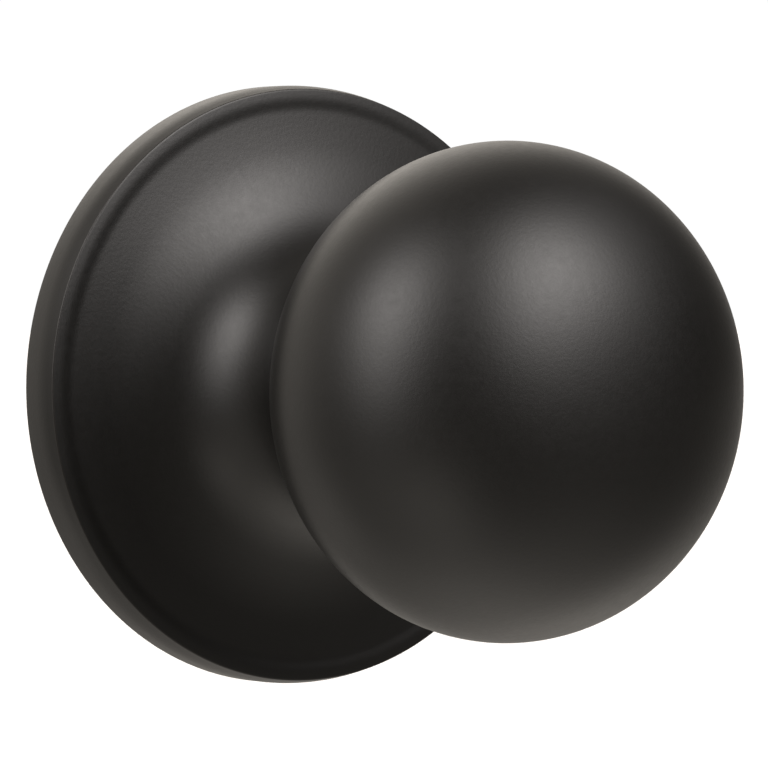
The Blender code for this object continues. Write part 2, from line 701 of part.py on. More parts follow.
def make_spring_driver(parent):
    """The driver on the shank: a sleeve inside the coil, a tab outside it and a lug for the stops."""
    low, high = DRIVER_DEPTHS
    ledge = low + DRIVER_SHEET
    profile = [(DRIVER_SLEEVE, high), (DRIVER_SLEEVE, ledge), (DRIVER_TAB[1], ledge),
               (DRIVER_TAB[1], low), (SHANK_RADIUS + GAP, low), (SHANK_RADIUS + GAP, high)]
    driver = turned("spring_driver", profile, MEDIUM)
    root = DRIVER_SHEET / 2
    tab = sector("driver_tab", *DRIVER_TAB, 90, KEY_HALF_ANGLE, low + root, high)
    boolean(driver, as_cutter(tab, parent), "UNION")
    lug = sector("driver_lug", DRIVER_TAB[0], DRIVER_LUG, 270, LUG_HALF_ANGLE, low, ledge)
    boolean(driver, as_cutter(lug, parent), "UNION")
    return place(driver, parent, "cast_zinc")


def make_wave_washer(parent):
    """A thin spring washer with three waves."""
    half = WAVE_WASHER_SHEET / 2
    flat = turned("wave_washer", ring_profile(SHANK_RADIUS + GAP, WAVE_WASHER_RADIUS,
                                              WAVE_WASHER_DEPTH - half, WAVE_WASHER_DEPTH + half), WAVED)
    collections["parts"].objects.link(flat)
    bpy.context.view_layer.update()
    graph = bpy.context.evaluated_depsgraph_get()
    mesh = bpy.data.meshes.new_from_object(flat.evaluated_get(graph))
    bpy.data.objects.remove(flat, do_unlink=True)
    for vertex in mesh.vertices:
        turn = math.atan2(vertex.co.y, vertex.co.x)
        vertex.co.z += WAVE_WASHER_SWELL * math.sin(WAVE_COUNT * turn)
    return place(shade(bpy.data.objects.new("wave_washer", mesh)), parent, "spring_steel")


def make_retaining_hardware(parent):
    """The thrust washer, the wave washer and the ring that hold the knob on the hub."""
    low = CAGE_DEPTHS[0] - GAP
    thrust = ring_profile(SHANK_RADIUS + GAP, THRUST_WASHER_RADIUS, low - THRUST_WASHER, low)
    place(shade(turned("thrust_washer", thrust, MEDIUM)), parent, "steel")
    make_wave_washer(parent)
    groove_low, groove_high = CLIP_GROOVE
    ring = sector("retaining_ring", CLIP_GROOVE_RADIUS + GAP, RETAINING_RING_RADIUS, 90,
                  RETAINING_RING_HALF_ANGLE, groove_low + GAP, groove_high - GAP, 22)
    place(ring, parent, "spring_steel")


def build():
    clear_scene()
    collections["parts"] = new_collection("door_knob")
    collections["cutters"] = new_collection("cutters")
    fixed = axis_frame("rose_frame", collections["parts"])
    turning = axis_frame("knob_axis", collections["parts"])
    make_rose_cover(fixed)
    make_mounting_plate(fixed)
    make_hub_tube(fixed)
    make_bushings(fixed)
    make_post("post_upper", POST_SPACING / 2, fixed)
    make_post("post_lower", -POST_SPACING / 2, fixed)
    make_spring_cage(fixed)
    make_return_spring(fixed)
    make_cage_screw("cage_screw_right", EAR_CENTRE, fixed)
    make_cage_screw("cage_screw_left", -EAR_CENTRE, fixed)
    make_rose_clips(fixed)
    make_knob_shell(turning)
    make_knob_back(turning)
    make_shank(turning)
    make_support_cup(turning)
    make_plug(turning)
    make_spindle(turning)
    make_spring_driver(turning)
    make_retaining_hardware(turning)


collections = {}
build()
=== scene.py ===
"""The looks of the door knob: fine meshes, procedural finishes, studio and camera.

Pieces are drawn in the axis frame of the CAD model: local X right, local Y up and depth out of the
door along the knob's axis, which the world holds as +X, +Z and -Y.
"""
import math

import bmesh
import bpy
from mathutils import Matrix, Vector


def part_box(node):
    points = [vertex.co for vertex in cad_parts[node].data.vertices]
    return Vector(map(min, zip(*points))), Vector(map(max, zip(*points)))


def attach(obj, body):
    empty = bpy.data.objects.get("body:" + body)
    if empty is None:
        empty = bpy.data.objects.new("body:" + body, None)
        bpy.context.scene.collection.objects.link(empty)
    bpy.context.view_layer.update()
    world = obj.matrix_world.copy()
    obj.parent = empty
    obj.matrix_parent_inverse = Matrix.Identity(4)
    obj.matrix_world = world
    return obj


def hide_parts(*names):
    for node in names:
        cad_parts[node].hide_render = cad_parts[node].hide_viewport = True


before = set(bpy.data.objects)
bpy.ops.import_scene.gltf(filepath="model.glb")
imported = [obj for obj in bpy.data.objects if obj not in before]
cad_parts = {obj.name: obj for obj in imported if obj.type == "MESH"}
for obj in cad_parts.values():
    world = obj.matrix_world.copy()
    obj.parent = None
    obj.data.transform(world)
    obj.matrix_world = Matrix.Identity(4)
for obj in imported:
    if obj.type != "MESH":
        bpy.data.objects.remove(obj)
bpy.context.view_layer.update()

MM = 0.001
GAP = 0.3 * MM

# Facets round a turned piece and round a hole.
FINE = 256
MEDIUM = 128
SMALL = 64
PLATE_FACETS = 192
HOLE_FACETS = 48
PIN_FACETS = 32

# Roundings that many pieces share, how far a cutter runs past what it cuts, and mesh tolerances.
SHARP_EDGE = 0.1 * MM
SOFT_EDGE = 0.2 * MM
ROUND_EDGE = 0.3 * MM
HOLE_BEVEL = 0.12 * MM
FINE_BEVEL = 0.08 * MM
CUTTER_REACH = 1.0 * MM
WORN_RADIUS = 0.4 * MM
SHORTEST_FACE = 0.05 * MM
NEARLY_HALF = 0.49
WELD = 1e-7
ON_AXIS = 1e-9

# The angle in degrees beyond which an edge is shaded sharp.
CREASE = 35.0
COVER_CREASE = 50.0
BALL_CREASE = 60.0

# How deep the grain of a surface looks.
GRAIN_DEPTH = 0.02 * MM
COAT_GRAIN_DEPTH = 0.022 * MM

# The rose, as (radius, depth) where it takes two numbers.
ROSE_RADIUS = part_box("rose_cover")[1][0]
ROSE_SHEET = 1.0 * MM
RIM_INNER_RADIUS = 32.2 * MM
RIM_SHOULDER = 2.4 * MM
RIM_EDGE = (32.9 * MM, 4.8 * MM)
RIM_CORNER = 0.3 * MM
RIM_CORNER_INSET = (0.02 * MM, 0.06 * MM)
RIM_INNER_STEP = 3.6 * MM
RIM_INNER_FILLET = 1.4 * MM
RIM_INNER_END = (31.05 * MM, 5.2 * MM - ROSE_SHEET)
FACE_RADIUS = 30.0 * MM
FACE_DEPTH = 5.28 * MM
FACE_SLOPE = 8.5
# How the face leans at each radius from its end across the groove to the raised lip, in degrees.
LIP_SLOPES = ((30.0 * MM, 8.5), (30.1 * MM, 8.5), (31.2 * MM, -0.6), (32.5 * MM, 9.5),
              (32.7 * MM, 10.5))
LIP_STEP = 0.04 * MM
# Arcs from the face in to the collar: the radius and the slope in degrees where each ends, and its steps.
BELL_ARCS = ((26.6 * MM, 11.0, 6), (20.0 * MM, 28.0, 16), (13.7 * MM, 87.0, 30))
COLLAR_LIP = 19.3 * MM

# The ball and its neck.
BALL_CENTRE = 43.2 * MM
BALL_TERMS = (23.4 * MM, 0.85 * MM, -3.12 * MM)
SHELL_SHEET = 0.8 * MM
SHELL_EDGE_RADIUS = 20.0 * MM
SHELL_ROLL = 0.42 * SHELL_SHEET
NECK_RADIUS = 12.3 * MM
NECK_END = 16.6 * MM
NECK_FILLET = 4.0 * MM
CAP_SHEET = 1.1 * MM
CAP_BODY_SHEET = 1.3 * MM
CAP_RIM_RADIUS = 23.2 * MM
CAP_RIM_TAPER = 0.7 * MM
NECK_EDGE = 0.35 * MM
SEAM_ANGLE = math.radians(0.9)
SEAM_DEPTH = 0.25 * MM

# The shank, the plug in it and the spindle.
SHANK_RADIUS = 8.0 * MM
SHANK_BORE = 6.6 * MM
SHANK_HEAD_RADIUS = 9.6 * MM
SHANK_FRONT, SHANK_REAR = 33.0 * MM, -13.0 * MM
SHANK_CHAMFER = 0.35 * MM
SHANK_CHAMFER_EDGE = 0.15 * MM
RING_GROOVE_RADIUS = 7.3 * MM
RING_GROOVE = (-11.9 * MM, -10.3 * MM)
FLANGE_RADIUS = 17.0 * MM
FLANGE_SHEET = 1.5 * MM
PLUG_DEPTHS = (-12.5 * MM, 12.0 * MM)
SPINDLE_RADIUS = 4.3 * MM
SPINDLE_FLAT = -1.8 * MM
SPINDLE_DEPTHS = (-44.0 * MM, 11.0 * MM)
SPINDLE_CHAMFER = 0.6 * MM
PIN_RADIUS = 1.1 * MM
PIN_CENTRE = (1.0 * MM, 6.0 * MM)
PIN_CUT = 10.0 * MM

# The plate, hub, bushings and posts.
PLATE_RADIUS = 29.0 * MM
PLATE_SHEET = 1.8 * MM
HUB_RADIUS = 10.9 * MM
HUB_BORE = 9.5 * MM
HUB_TOP = 22.8 * MM
HUB_FLANGE_RADIUS = 14.0 * MM
HUB_FLANGE = 1.2 * MM
HUB_EDGE = 0.25 * MM
HUB_FILLET = 0.8 * MM
BUSHING_FLANGE = 0.9 * MM
BUSHING_FRONT_END = 12.0 * MM
BUSHING_REAR_DEPTHS = (0.2 * MM, 9.0 * MM)
POST_SPACING = 38.1 * MM
POST_RADIUS = 4.0 * MM
POST_HEAD_RADIUS = 4.5 * MM
POST_HEAD = 0.9 * MM
POST_HEAD_ROUND = 0.45 * MM
POST_STEM_RADIUS = 2.9 * MM
POST_END = -34.0 * MM
POST_CHAMFER = 0.5 * MM
POST_CHAMFER_EDGE = 0.15 * MM
THREAD_RADII = (1.9 * MM, 2.2 * MM)
THREAD_PITCH = 0.7 * MM
THREAD_TURNS = 14
THREAD_LENGTH = 20.0 * MM
THREAD_START = 0.45 * MM
THREAD_FLANK = 0.32 * MM
THREAD_CREST_END = 0.40 * MM
THREAD_MOUTH = 0.35 * MM

# The spring cage, its spring and the small hardware.
CAGE_RADIUS = 14.2 * MM
CAGE_WALL = 0.9 * MM
CAGE_DEPTHS = (-8.3 * MM, -0.3 * MM)
CAGE_HOLE = 8.6 * MM
CAGE_CORNER = 1.1 * MM
CAGE_RIM_STEP = 0.1 * MM
EAR_CENTRE = 17.2 * MM
EAR_RADIUS = 3.0 * MM
EAR_SHEET = 1.0 * MM
STOP_RADIUS = 12.4 * MM
STOP_ANGLES = (192.5, 347.5)
STOP_HALF_ANGLE = 6.0
STOP_FRONT = -6.2 * MM
SPRING_KEY_ANGLE = 90.0
SPRING_KEY_HALF_ANGLE = 8.0
SPRING_KEY_DEPTHS = (-6.0 * MM, -0.8 * MM)
COIL_RADIUS = 10.4 * MM
COIL_WIRE = 0.55 * MM
COIL_DEPTHS = (-5.65 * MM, -1.65 * MM)
COIL_TURNS = 3
COIL_STEPS = 64
LEG_ANGLE = 14.0
LEG_STEPS = 8
LEG_BEND = 1.0 * MM
LEG_TIP = 13.0 * MM
SCREW_RADIUS = 1.2 * MM
SCREW_TIP = 1.5 * MM
SCREW_HEAD_RADIUS = 2.5 * MM
SCREW_HEAD_SIDE = 0.9 * MM
SCREW_HEAD_EDGE = 0.45 * MM
SCREW_SEAT_EDGE = 0.15 * MM
SCREW_CROWN = (1.7 * MM, 1.38 * MM)
SCREW_CROWN_FILLET = 0.8 * MM
SCREW_HEAD_HEIGHT = 1.4 * MM
SLOT_REACH = 3.0 * MM
SLOT_HALF_WIDTH = 0.4 * MM
SLOT_FLOOR = 0.8 * MM
CLIP_ANGLES = (0.0, 120.0, 240.0)
CLIP_WIDTH = 7.0 * MM
CLIP_FOOT = 21.2 * MM
CLIP_SHEET = 0.6 * MM
CLIP_CUT = 5.0 * MM
CLIP_ELBOW = 29.6 * MM
CLIP_BEND = 0.8 * MM
CLIP_TIP_INNER = (31.2 * MM, 0.4 * MM)
CLIP_TIP_OUTER = (31.75 * MM, 0.65 * MM)
RIVET_RADIUS = 1.2 * MM
RIVET_PLACE = 24.5 * MM
RIVET_DOME = 0.9 * MM
RIVET_DOME_SPREAD = 2
RIVET_END = 0.1 * MM
THRUST_RADIUS = 12.0 * MM
THRUST_SHEET = 0.7 * MM
WASHER_EDGE = 0.15 * MM
WAVE_RADIUS = 11.4 * MM
WAVE_MIDDLE = -9.95 * MM
WAVE_HALF_SHEET = 0.15 * MM
WAVE_HEIGHT = 0.2 * MM
WAVE_COUNT = 3
RING_RADII = (7.6 * MM, 9.6 * MM, 10.4 * MM)
RING_HALF_ANGLE = 158.0
RING_STEPS = 120
LUG_ANGLE = 13.0
LUG_BLEND_ANGLE = 8.0
LUG_HOLE_ANGLE = 6.0
LUG_HOLE_PLACE = 9.05 * MM
LUG_HOLE_RADIUS = 0.6 * MM

# The CAD nodes that no new piece replaces, and their materials.
KEPT_NODES = {"shank_flange": "steel", "support_cup": "steel", "spindle_pin": "steel",
              "spring_driver": "cast_zinc"}

# Camera and studio.
CAMERA_AZIMUTH = math.radians(-32.9)
CAMERA_ELEVATION = math.radians(1.3)
CAMERA_DISTANCE = 0.65
CAMERA_LENS = 272.4
CAMERA_SENSOR = 36.0
CAMERA_AIM = Vector((0.0, -0.0203, 0.0004))
FLOOR_HEIGHT = -0.09
FLOOR_REACH = 6.0
FLOOR_COLOUR = (0.93, 0.93, 0.93)
FLOOR_ROUGHNESS = 0.9
BACKDROP_STRENGTH = 1.02

# Soft lights all round the object: direction, tightness and strength. Most of the values came from
# a program that fitted them to the photo's tones, and the rest were set by hand.
KEY_RIGHT = (((0.18, -0.86, 0.48), 20, 4.0), ((0.19, -0.64, 0.74), 20, 4.2),
             ((0.33, -0.74, 0.58), 20, 2.65), ((0.65, -0.25, 0.72), 20, 0.56))
KEY_LEFT = (((-0.77, -0.12, 0.63), 20, 5.75), ((-0.96, -0.20, 0.20), 20, 1.97),
            ((-0.85, -0.26, 0.47), 20, 0.75))
BACK_GLOW = (((0.37, 0.87, 0.31), 9, 1.22), ((0.99, 0.11, 0.0), 14, 0.08),
             ((0.08, 0.74, 0.67), 9, 0.77),
             ((-0.60, 0.78, 0.18), 12, 0.58), ((-0.74, 0.32, 0.59), 2.5, 0.25))
FLOOR_GLOW = (((0.06, 0.06, -1.0), 6, 1.0), ((0.33, 0.80, -0.50), 12, 0.16),
              ((-0.56, -0.44, -0.70), 20, 0.77),
              ((0.65, 0.35, -0.67), 14, 0.69), ((-0.48, 0.68, -0.56), 20, 0.50),
              ((-0.81, 0.03, -0.58), 20, 0.38), ((0.39, -0.61, -0.69), 14, 0.26))
FLOOR_BASE = 0.10
KEY_COLOUR = (0.99, 0.948, 0.925)
FILL_COLOUR = (1.0, 0.935, 0.85)


# ---------------------------------------------------------------- mesh tools

def to_world(radius, angle, depth):
    return Vector((radius * math.cos(angle), -depth, radius * math.sin(angle)))


def arc(centre, radius, start, stop, count):
    """Points on an arc; angles in degrees from +X towards +Y."""
    turns = [math.radians(start + (stop - start) * i / count) for i in range(count + 1)]
    return [(centre[0] + radius * math.cos(a), centre[1] + radius * math.sin(a)) for a in turns]


def rounded(corners, count=5, closed=True):
    """A polygon of (x, y, fillet) corners as points, with each corner rounded by its fillet."""
    points = []
    total = len(corners)
    for i, (x, y, fillet) in enumerate(corners):
        here = Vector((x, y))
        if fillet <= 0 or (not closed and i in (0, total - 1)):
            points.append((x, y))
            continue
        before = Vector(corners[i - 1][:2]) - here
        after = Vector(corners[(i + 1) % total][:2]) - here
        opening = before.angle(after)
        longest = NEARLY_HALF * min(before.length, after.length)
        reach = min(fillet / math.tan(opening / 2), longest)
        fillet = reach * math.tan(opening / 2)
        before.normalize()
        after.normalize()
        centre = here + (before + after).normalized() * fillet / math.sin(opening / 2)
        first = here + before * reach - centre
        last = here + after * reach - centre
        sweep = first.angle_signed(last)
        for step in range(count + 1):
            turned = first.copy()
            turned.rotate(Matrix.Rotation(-sweep * step / count, 2))
            points.append(tuple(centre + turned))
    return points


def mark_edges(mesh):
    """Stores how tightly each point is rounded outwards, for the materials: 1 is a 0.4 mm edge."""
    shape = bmesh.new()
    shape.from_mesh(mesh)
    centres = {face: face.calc_center_median() for face in shape.faces}
    values = []
    for vertex in shape.verts:
        tightest = 0.0
        for edge in vertex.link_edges:
            if len(edge.link_faces) == 2:
                first, second = edge.link_faces
                across = max((centres[first] - centres[second]).length, SHORTEST_FACE)
                tightest = max(tightest, edge.calc_face_angle_signed(0.0) / across)
        values.append(min(1.0, tightest * WORN_RADIUS))
    shape.free()
    marks = mesh.attributes.get("edge") or mesh.attributes.new("edge", "FLOAT", "POINT")
    marks.data.foreach_set("value", values)


def mesh_object(name, points, faces, crease=CREASE):
    mesh = bpy.data.meshes.new(name)
    mesh.from_pydata(points, [], faces)
    shape = bmesh.new()
    shape.from_mesh(mesh)
    bmesh.ops.remove_doubles(shape, verts=shape.verts, dist=WELD)
    bmesh.ops.recalc_face_normals(shape, faces=shape.faces)
    shape.to_mesh(mesh)
    shape.free()
    mesh.shade_smooth()
    mesh.set_sharp_from_angle(angle=math.radians(crease))
    mark_edges(mesh)
    item = bpy.data.objects.new(name, mesh)
    bpy.context.scene.collection.objects.link(item)
    return item


def lathe(name, profile, facets=MEDIUM, closed=True, centre=(0, 0), crease=CREASE):
    """Turns (radius, depth) points about the knob's axis, or about a parallel one."""
    shift = Vector((centre[0], 0, centre[1]))
    points, rows = [], []
    for radius, depth in profile:
        if radius < ON_AXIS:
            rows.append([len(points)] * facets)
            points.append(to_world(0, 0, depth) + shift)
            continue
        rows.append(list(range(len(points), len(points) + facets)))
        points += [to_world(radius, math.tau * i / facets, depth) + shift for i in range(facets)]
    pairs = list(zip(rows, rows[1:]))
    if closed:
        pairs.append((rows[-1], rows[0]))
    faces = []
    for low, high in pairs:
        for i in range(facets):
            j = (i + 1) % facets
            corner = [low[i], low[j], high[j], high[i]]
            corner = [v for k, v in enumerate(corner) if v not in corner[:k]]
            if len(corner) > 2:
                faces.append(corner)
    return mesh_object(name, points, faces, crease)


def slab_faces(count):
    """The faces of a slab between two like outlines of count points each."""
    faces = [list(range(count)), list(range(2 * count - 1, count - 1, -1))]
    return faces + [[i, (i + 1) % count, count + (i + 1) % count, count + i] for i in range(count)]


def prism(name, outline, low, high):
    """A flat (x, y) outline with thickness between two depths."""
    points = [(x, -low, y) for x, y in outline] + [(x, -high, y) for x, y in outline]
    return mesh_object(name, points, slab_faces(len(outline)))


def add_bevel(item, width, segments, angle=40.0):
    modifier = item.modifiers.new("edge", "BEVEL")
    modifier.width = width
    modifier.segments = segments
    modifier.limit_method = "ANGLE"
    modifier.angle_limit = math.radians(angle)
    modifier.harden_normals = False


def cut(item, cutters, bevel=0.0, operation="DIFFERENCE"):
    """Cuts or joins other objects, then bevels the edges and keeps the result as a mesh."""
    for cutter in cutters:
        modifier = item.modifiers.new("cut", "BOOLEAN")
        modifier.operation = operation
        modifier.solver = "EXACT"
        modifier.object = cutter
    if bevel:
        add_bevel(item, bevel, 2)
    keep_result(item)
    for cutter in cutters:
        bpy.data.objects.remove(cutter, do_unlink=True)
    item.data.shade_smooth()
    item.data.set_sharp_from_angle(angle=math.radians(CREASE))
    mark_edges(item.data)
    return item


def keep_result(item):
    """Swaps an object's mesh and modifiers for the mesh that they make."""
    bpy.context.view_layer.update()
    graph = bpy.context.evaluated_depsgraph_get()
    mesh = bpy.data.meshes.new_from_object(item.evaluated_get(graph))
    item.modifiers.clear()
    item.data = mesh


def rod(name, radius, low, high, centre=(0, 0), facets=HOLE_FACETS):
    profile = [(0, high), (radius, high), (radius, low), (0, low)]
    return lathe(name, profile, facets, closed=False, centre=centre)


def sector(name, bore, radius, middle, half_angle, low, high):
    """A block between two radii and two angles."""
    outer = arc((0, 0), radius, middle - half_angle, middle + half_angle, 12)
    inner = arc((0, 0), bore, middle + half_angle, middle - half_angle, 12)
    return prism(name, outer + inner, low, high)


def ring(bore, radius, low, high, fillet):
    """The profile of a flat ring or a sleeve."""
    return rounded([(radius, high, fillet), (radius, low, fillet), (bore, low, fillet),
                    (bore, high, fillet)], 4)


# ---------------------------------------------------------------- shapes

def ball_point(turn, inset=0.0):
    """(radius, depth) at an angle from the front pole, moved inwards along the normal."""
    base, first, second = BALL_TERMS
    reach = base + first * math.cos(turn) + second * math.cos(2 * turn)
    change = -first * math.sin(turn) - 2 * second * math.sin(2 * turn)
    across = change * math.sin(turn) + reach * math.cos(turn)
    along = change * math.cos(turn) - reach * math.sin(turn)
    length = math.hypot(across, along)
    return (max(reach * math.sin(turn) + inset * along / length, 0.0),
            BALL_CENTRE + reach * math.cos(turn) - inset * across / length)


def rear_turn(radius, inset=0.0):
    """The angle behind the ball's widest plane at which its inset surface has a radius."""
    low, high = math.radians(95), math.radians(175)
    for _ in range(50):
        middle = (low + high) / 2
        if ball_point(middle, inset)[0] > radius:
            low = middle
        else:
            high = middle
    return low


def ball_outline(start, stop, count, inset=0.0):
    return [ball_point(start + (stop - start) * i / count, inset) for i in range(count + 1)]


def make_ball():
    """The drawn shell, its rear edge rolled in over the back cap."""
    edge = rear_turn(SHELL_EDGE_RADIUS)
    start = rear_turn(SHELL_EDGE_RADIUS + SHELL_ROLL)
    outside = ball_outline(0, start, 96)
    inside = ball_outline(start, 0, 40, SHELL_SHEET)
    centre = Vector(ball_point(start, SHELL_SHEET / 2))
    lead = Vector(ball_point(edge)) - Vector(ball_point(start))
    lead.normalize()
    first = Vector(outside[-1]) - centre
    tip = [tuple(centre + first * math.cos(a) + lead * (SHELL_SHEET / 2) * math.sin(a))
           for a in (math.pi * i / 8 for i in range(1, 8))]
    outside[0] = (0.0, outside[0][1])
    inside[-1] = (0.0, inside[-1][1])
    return lathe("knob_ball", outside + tip + inside, FINE, closed=False,
                 crease=BALL_CREASE)


def make_neck():
    """The back cap: a flange under the shell, a face flush with the ball, and the neck."""
    lap = SHELL_SHEET + GAP
    edge = rear_turn(SHELL_EDGE_RADIUS - GAP)
    join = rear_turn(NECK_RADIUS + NECK_FILLET, -NECK_FILLET)
    bend = ball_point(join, -NECK_FILLET)
    touch = ball_point(join)
    lean = math.degrees(math.atan2(touch[1] - bend[1], touch[0] - bend[0]))
    flange = ball_outline(rear_turn(CAP_RIM_RADIUS, lap), edge, 8, lap)
    step = [ball_point(edge + SEAM_ANGLE * (1 - math.cos(a)), SEAM_DEPTH * (1 - math.sin(a)))
            for a in (math.pi / 2 * i / 4 for i in range(5))]
    face = ball_outline(edge + SEAM_ANGLE, join, 20)
    fillet = arc(bend, NECK_FILLET, lean, 180, 24)
    neck = rounded([(NECK_RADIUS, bend[1], 0), (NECK_RADIUS, NECK_END, NECK_EDGE),
                    (NECK_RADIUS - CAP_SHEET, NECK_END, NECK_EDGE),
                    (NECK_RADIUS - CAP_SHEET, bend[1], 0)], 5, closed=False)[1:-1]
    inner_fillet = arc(bend, NECK_FILLET + CAP_SHEET, 180, lean, 16)
    inner_face = ball_outline(join, edge, 10, CAP_BODY_SHEET)
    inner_rim = rear_turn(CAP_RIM_RADIUS - CAP_RIM_TAPER, lap + CAP_SHEET)
    inner_flange = ball_outline(edge, inner_rim, 6, lap + CAP_SHEET)
    outside = flange + step + face[1:] + fillet[1:]
    inside = inner_fillet + inner_face[1:-1] + inner_flange
    return lathe("knob_neck", outside + neck + inside, FINE, crease=COVER_CREASE)


def bell_outline():
    """(radius, depth, slope) down the bell's outer face, from the face's end in to the collar."""
    points = [(FACE_RADIUS, FACE_DEPTH, math.radians(FACE_SLOPE))]
    for end_radius, end_slope, count in BELL_ARCS:
        radius, depth, slope = points[-1]
        goal = math.radians(end_slope)
        curve = (radius - end_radius) / (math.sin(goal) - math.sin(slope))
        for i in range(1, count + 1):
            lean = slope + (goal - slope) * i / count
            points.append((radius - curve * (math.sin(lean) - math.sin(slope)),
                           depth + curve * (math.cos(slope) - math.cos(lean)), lean))
    return points


def rim_side():
    """The rose's side from its crisp front edge down to the door, drawn in above the shoulder."""
    edge_radius, edge_depth = RIM_EDGE
    drawn_in, run = ROSE_RADIUS - edge_radius, edge_depth - RIM_SHOULDER
    crown = (drawn_in ** 2 + run ** 2) / (2 * drawn_in)
    tilt = math.degrees(math.asin(run / crown))
    return arc((ROSE_RADIUS - crown, RIM_SHOULDER), crown, tilt, 0, 8)


def lip_profile():
    """The shallow groove and lip outside the face, drawn from its slope at each radius."""
    points = [(FACE_RADIUS, FACE_DEPTH)]
    count = round((LIP_SLOPES[-1][0] - FACE_RADIUS) / LIP_STEP)
    for i in range(1, count + 1):
        radius = FACE_RADIUS + i * LIP_STEP
        inner, outer = next(pair for pair in zip(LIP_SLOPES, LIP_SLOPES[1:])
                            if radius <= pair[1][0] + LIP_STEP / 2)
        part = min(1.0, (radius - inner[0]) / (outer[0] - inner[0]))
        lean = inner[1] + (outer[1] - inner[1]) * (1 - math.cos(math.pi * part)) / 2
        points.append((radius, points[-1][1] - LIP_STEP * math.tan(math.radians(lean))))
    return points


def make_rose():
    """The spun cover: collar lip, bell, face, shallow groove, raised lip, crisp edge and side."""
    bell = bell_outline()
    collar = bell[-1][0]
    half = ROSE_SHEET / 2
    lip = arc((collar - half, COLLAR_LIP - half), half, 180, 0, 10)
    face = [(radius, depth) for radius, depth, lean in reversed(bell)][:-1]
    side = rim_side()
    lip_out = lip_profile()
    inset, drop = RIM_CORNER_INSET
    corner = [(*lip_out[-1], 0), (side[0][0] - inset, lip_out[-1][1] - drop, RIM_CORNER),
              (*side[1], 0)]
    rim = lip_out + rounded(corner, 7, closed=False)[1:-1]
    foot = rounded([(*side[-1], 0), (ROSE_RADIUS, 0, SOFT_EDGE), (RIM_INNER_RADIUS, 0, SOFT_EDGE),
                    (RIM_INNER_RADIUS, RIM_INNER_STEP, RIM_INNER_FILLET),
                    (*RIM_INNER_END, 0)], 5, closed=False)[1:]
    inside = [(radius - ROSE_SHEET * math.sin(lean), depth - ROSE_SHEET * math.cos(lean))
              for radius, depth, lean in bell[::4]]
    inside.append((collar - ROSE_SHEET, COLLAR_LIP - 2 * ROSE_SHEET))
    return lathe("rose", lip + face + rim + side[1:] + foot + inside, FINE, crease=COVER_CREASE)


def make_plate():
    profile = ring(HUB_RADIUS + GAP, PLATE_RADIUS, 0, PLATE_SHEET, ROUND_EDGE)
    plate = lathe("plate", profile, PLATE_FACETS)
    holes = [(0, POST_SPACING / 2, POST_STEM_RADIUS), (0, -POST_SPACING / 2, POST_STEM_RADIUS),
             (EAR_CENTRE, 0, SCREW_RADIUS), (-EAR_CENTRE, 0, SCREW_RADIUS)]
    holes += [(*spot, RIVET_RADIUS) for spot in rivet_spots()]
    cutters = [rod("hole", radius + GAP, -CUTTER_REACH, PLATE_SHEET + CUTTER_REACH, (x, y))
               for x, y, radius in holes]
    return cut(plate, cutters, HOLE_BEVEL)


def rivet_spots():
    turns = [math.radians(angle) for angle in CLIP_ANGLES]
    return [(RIVET_PLACE * math.cos(turn), RIVET_PLACE * math.sin(turn)) for turn in turns]


def make_hub():
    foot = PLATE_SHEET + GAP
    top = foot + HUB_FLANGE
    corners = [(HUB_RADIUS, HUB_TOP, ROUND_EDGE), (HUB_RADIUS, top, HUB_FILLET),
               (HUB_FLANGE_RADIUS, top, HUB_EDGE), (HUB_FLANGE_RADIUS, foot, HUB_EDGE),
               (HUB_RADIUS, foot, 0), (HUB_RADIUS, 0, HUB_EDGE), (HUB_BORE, 0, HUB_EDGE),
               (HUB_BORE, HUB_TOP, ROUND_EDGE)]
    return lathe("hub", rounded(corners, 5), MEDIUM)


def make_bushings():
    """A flanged sleeve at the hub's front end and a plain one at its rear."""
    bore, outside = SHANK_RADIUS + GAP, HUB_BORE - GAP
    low = HUB_TOP + GAP
    high = low + BUSHING_FLANGE
    front = [(HUB_RADIUS - GAP, high, SOFT_EDGE), (HUB_RADIUS - GAP, low, SOFT_EDGE),
             (outside, low, 0), (outside, BUSHING_FRONT_END, SOFT_EDGE),
             (bore, BUSHING_FRONT_END, SOFT_EDGE), (bore, high, SOFT_EDGE)]
    rear = ring(bore, outside, *BUSHING_REAR_DEPTHS, SOFT_EDGE)
    return lathe("bushing_front", rounded(front, 4), MEDIUM), lathe("bushing_rear", rear, MEDIUM)


def make_post(name, height):
    """A staked post: domed head, stem, body with a chamfered end and a threaded hole."""
    head = PLATE_SHEET + GAP
    top = head + POST_HEAD
    crest, root = THREAD_RADII
    outside = rounded([(0, top, 0), (POST_HEAD_RADIUS, top, POST_HEAD_ROUND),
                       (POST_HEAD_RADIUS, head, SHARP_EDGE), (POST_STEM_RADIUS, head, 0),
                       (POST_STEM_RADIUS, -GAP, 0), (POST_RADIUS, -GAP, SOFT_EDGE),
                       (POST_RADIUS, POST_END + POST_CHAMFER, SOFT_EDGE),
                       (POST_RADIUS - POST_CHAMFER, POST_END, POST_CHAMFER_EDGE),
                       (root + THREAD_MOUTH, POST_END, 0)], 4, closed=False)
    thread = []
    for turn in range(THREAD_TURNS):
        start = POST_END + THREAD_START + turn * THREAD_PITCH
        thread += [(root, start), (crest, start + THREAD_FLANK), (crest, start + THREAD_CREST_END)]
    end = POST_END + THREAD_LENGTH
    hole = [(crest, end), (0, end + crest)]
    return lathe(name, outside + thread + hole, SMALL, closed=False, centre=(0, height))


